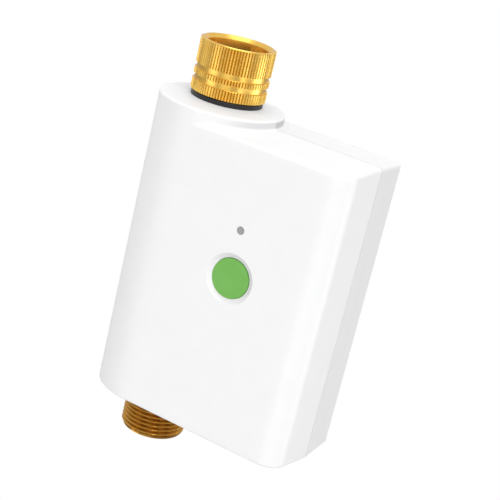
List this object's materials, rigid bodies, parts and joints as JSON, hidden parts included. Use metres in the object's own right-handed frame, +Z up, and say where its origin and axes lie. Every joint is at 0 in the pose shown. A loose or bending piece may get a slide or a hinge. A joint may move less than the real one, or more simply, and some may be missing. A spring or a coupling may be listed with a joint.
{
  "type": "water timer",
  "caption": "Battery garden water timer: white drafted housing with a round left end, green push button, knurled brass swivel inlet above and threaded brass outlet below.",
  "frame": {"origin": "on the pipe's axis at the top of the outlet thread, 0.2 mm below the housing", "axes": "+Z up the pipe to the tap, +X from the pipe to the battery side, +Y from the front face to the back"},
  "size_m": [0.0948, 0.0456, 0.1641],
  "materials": {
    "white_abs": "satin moulded ABS",
    "button_green": "satin moulded plastic",
    "light_pipe_grey": "smoked clear plastic",
    "brass": "machined, bright",
    "dark_brass": "machined, darker",
    "black_rubber": "moulded rubber",
    "black_plastic": "moulded nylon",
    "steel": "stainless steel",
    "nickel": "nickel plate",
    "chrome": "chrome plate",
    "natural_nylon": "unfilled nylon and PTFE",
    "board_green": "solder mask",
    "cell_wrap": "printed film, left plain"
  },
  "bodies": {
    "housing": {"front_shell": "white_abs", "rear_shell": "white_abs", "housing_seal": "black_rubber", "housing_screws": "steel", "battery_tray": "black_plastic", "battery_cells": "cell_wrap", "battery_contacts": "nickel", "battery_springs": "nickel", "main_board": "board_green", "board_screws": "steel", "radio_module": "steel", "board_sockets": "natural_nylon", "tact_switch": "black_plastic", "status_led": "natural_nylon", "light_pipe": "light_pipe_grey", "button_boot": "black_rubber", "outlet_nipple": "dark_brass", "outlet_oring": "black_rubber", "valve_body": "dark_brass", "ball_seats": "natural_nylon", "stem_orings": "black_rubber", "inlet_tailpiece": "brass", "neck_ring": "black_plastic", "inlet_washer": "black_rubber", "filter_screen": "steel", "pipe_clamps": "steel", "clamp_screws": "steel", "gearbox_base": "black_plastic", "gearbox_cover": "black_plastic", "gearbox_screws": "steel", "gear_axles": "steel", "drive_motor": "steel"},
    "swivel": {"inlet_swivel": "brass"},
    "battery_door": {"battery_door": "white_abs", "battery_door_seal": "black_rubber", "battery_door_screws": "steel"},
    "button": {"button_cap": "button_green"},
    "plunger": {"switch_plunger": "black_plastic"},
    "ball": {"valve_ball": "chrome", "ball_stem": "brass", "output_gear": "natural_nylon"},
    "middle_gear": {"middle_gear": "natural_nylon"},
    "first_gear": {"first_gear": "natural_nylon"},
    "rotor": {"motor_pinion": "brass", "motor_shaft": "steel"}
  },
  "joints": [
    {"name": "swivel_spin", "type": "hinge", "parent": "housing", "child": "swivel", "pos_m": [0, 0, 0.1353], "axis": [0, 0, 1], "continuous": true},
    {"name": "button_press", "type": "slide", "parent": "housing", "child": "button", "axis": [0, 1, 0], "range_m": [0, 0.0005], "stiffness_N_per_m": 3000},
    {"name": "plunger_press", "type": "slide", "parent": "housing", "child": "plunger", "axis": [0, 1, 0], "range_m": [0, 0.0005]},
    {"name": "ball_turn", "type": "hinge", "parent": "housing", "child": "ball", "pos_m": [0, 0, 0.047], "axis": [1, 0, 0], "range_deg": [0, 90]},
    {"name": "middle_gear_spin", "type": "hinge", "parent": "housing", "child": "middle_gear", "pos_m": [0.02, 0, 0.06305], "axis": [1, 0, 0], "range_deg": [-210, 0]},
    {"name": "first_gear_spin", "type": "hinge", "parent": "housing", "child": "first_gear", "pos_m": [0.024, 0, 0.0775], "axis": [1, 0, 0], "range_deg": [0, 630]},
    {"name": "motor_spin", "type": "hinge", "parent": "housing", "child": "rotor", "pos_m": [0.027, 0, 0.09055], "axis": [1, 0, 0], "range_deg": [-2100, 0]},
    {"name": "door_lift", "type": "slide", "parent": "housing", "child": "battery_door", "axis": [0, 1, 0], "range_m": [0, 0.03]}
  ],
  "couplings": [
    {"joint": "plunger_press", "follows": "button_press", "ratio": 1},
    {"joint": "middle_gear_spin", "follows": "ball_turn", "ratio": -2.3333},
    {"joint": "first_gear_spin", "follows": "ball_turn", "ratio": 7},
    {"joint": "motor_spin", "follows": "ball_turn", "ratio": -23.333}
  ]
}
